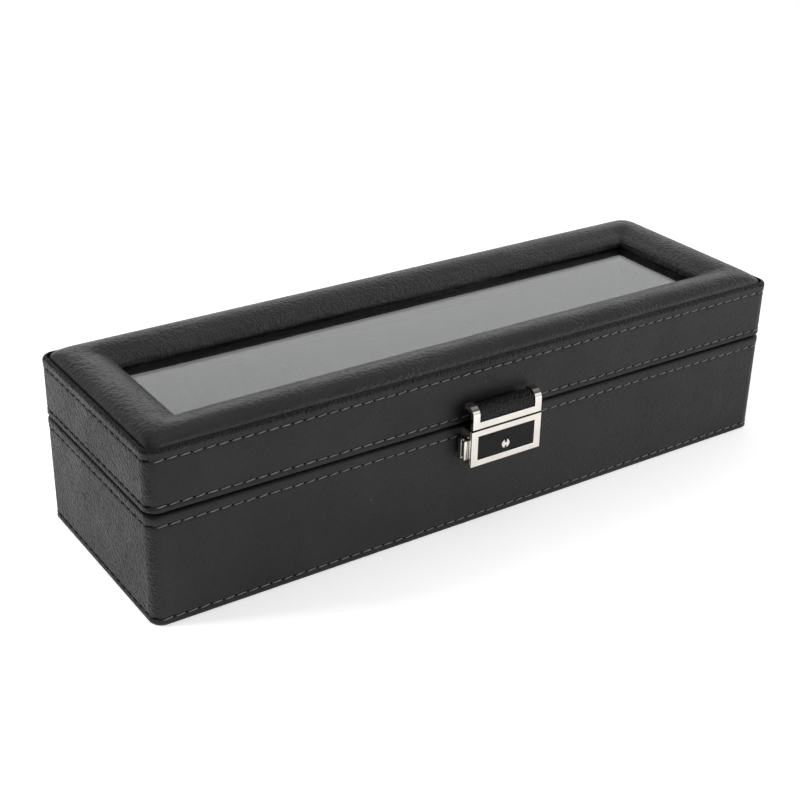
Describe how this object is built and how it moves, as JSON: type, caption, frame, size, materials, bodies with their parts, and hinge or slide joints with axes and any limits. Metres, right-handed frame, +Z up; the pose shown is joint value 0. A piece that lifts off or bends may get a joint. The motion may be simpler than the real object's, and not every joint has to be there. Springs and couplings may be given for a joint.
{
  "type": "watch box",
  "caption": "Long low leather-covered watch box: padded lid with a glass window, push-button hasp lock with a key barrel, and a velvet interior of cushioned compartments.",
  "frame": {"origin": "on the underside, in the middle of the box's footprint, without the lock and the hinge barrels", "axes": "+X along the box, to the right of a person facing the lock; -Y out of the lock face; +Z up"},
  "size_m": [0.315, 0.112, 0.0794],
  "materials": {
    "black_leather": "fine pebble grain, satin, light grey stitching",
    "black_velvet": "short pile velvet",
    "black_felt": "thin felt sheet",
    "fibreboard": "raw board, hidden under the covers",
    "nickel": "polished nickel plate",
    "window_glass": "clear float glass",
    "lock_plate": "smooth black enamel"
  },
  "bodies": {
    "base": {"base_carcass": "fibreboard", "base_cover": "black_leather", "bottom_cover": "black_felt", "cushion_1": "black_velvet", "cushion_2": "black_velvet", "cushion_3": "black_velvet", "cushion_4": "black_velvet", "cushion_5": "black_velvet", "cushion_6": "black_velvet", "divider_1": "black_velvet", "divider_2": "black_velvet", "divider_3": "black_velvet", "divider_4": "black_velvet", "divider_5": "black_velvet", "floor_lining": "black_velvet", "hinge_base_leaf_left": "nickel", "hinge_base_leaf_right": "nickel", "lock_backplate": "nickel", "lock_bezel": "nickel", "lock_case": "nickel", "lock_inlay": "lock_plate", "neck_back": "black_velvet", "neck_front": "black_velvet", "neck_left": "black_velvet", "neck_right": "black_velvet", "return_spring": "nickel"},
    "lid": {"lid_cover": "black_leather", "lid_carcass": "fibreboard", "pad_frame": "black_leather", "glass_pane": "window_glass", "glass_retainer": "black_velvet", "lid_lining_front": "black_velvet", "lid_lining_back": "black_velvet", "lid_lining_left": "black_velvet", "lid_lining_right": "black_velvet", "hinge_lid_leaf_left": "nickel", "hinge_lid_leaf_right": "nickel", "hinge_pin_left": "nickel", "hinge_pin_right": "nickel", "hasp_leaf": "nickel", "hasp_pin": "nickel"},
    "hasp": {"hasp_frame": "nickel", "hasp_inlay": "black_leather", "catch_lug": "nickel"},
    "button": {"release_button": "nickel", "latch_slider": "nickel"},
    "key": {"key_barrel": "nickel", "lock_cam": "nickel"}
  },
  "joints": [
    {"name": "lid_hinge", "type": "hinge", "parent": "base", "child": "lid", "pos_m": [0, 0.0519, 0.0489], "axis": [-1, 0, 0], "range_deg": [0, 100]},
    {"name": "hasp_hinge", "type": "hinge", "parent": "lid", "child": "hasp", "pos_m": [0, -0.053, 0.057], "axis": [-1, 0, 0], "range_deg": [0, 90]},
    {"name": "button_push", "type": "slide", "parent": "base", "child": "button", "axis": [1, 0, 0], "range_m": [0, 0.0015], "stiffness_N_per_m": 500, "springref_m": -0.002},
    {"name": "key_turn", "type": "hinge", "parent": "base", "child": "key", "pos_m": [0, -0.0585, 0.039], "axis": [0, 1, 0], "range_deg": [0, 90]}
  ]
}
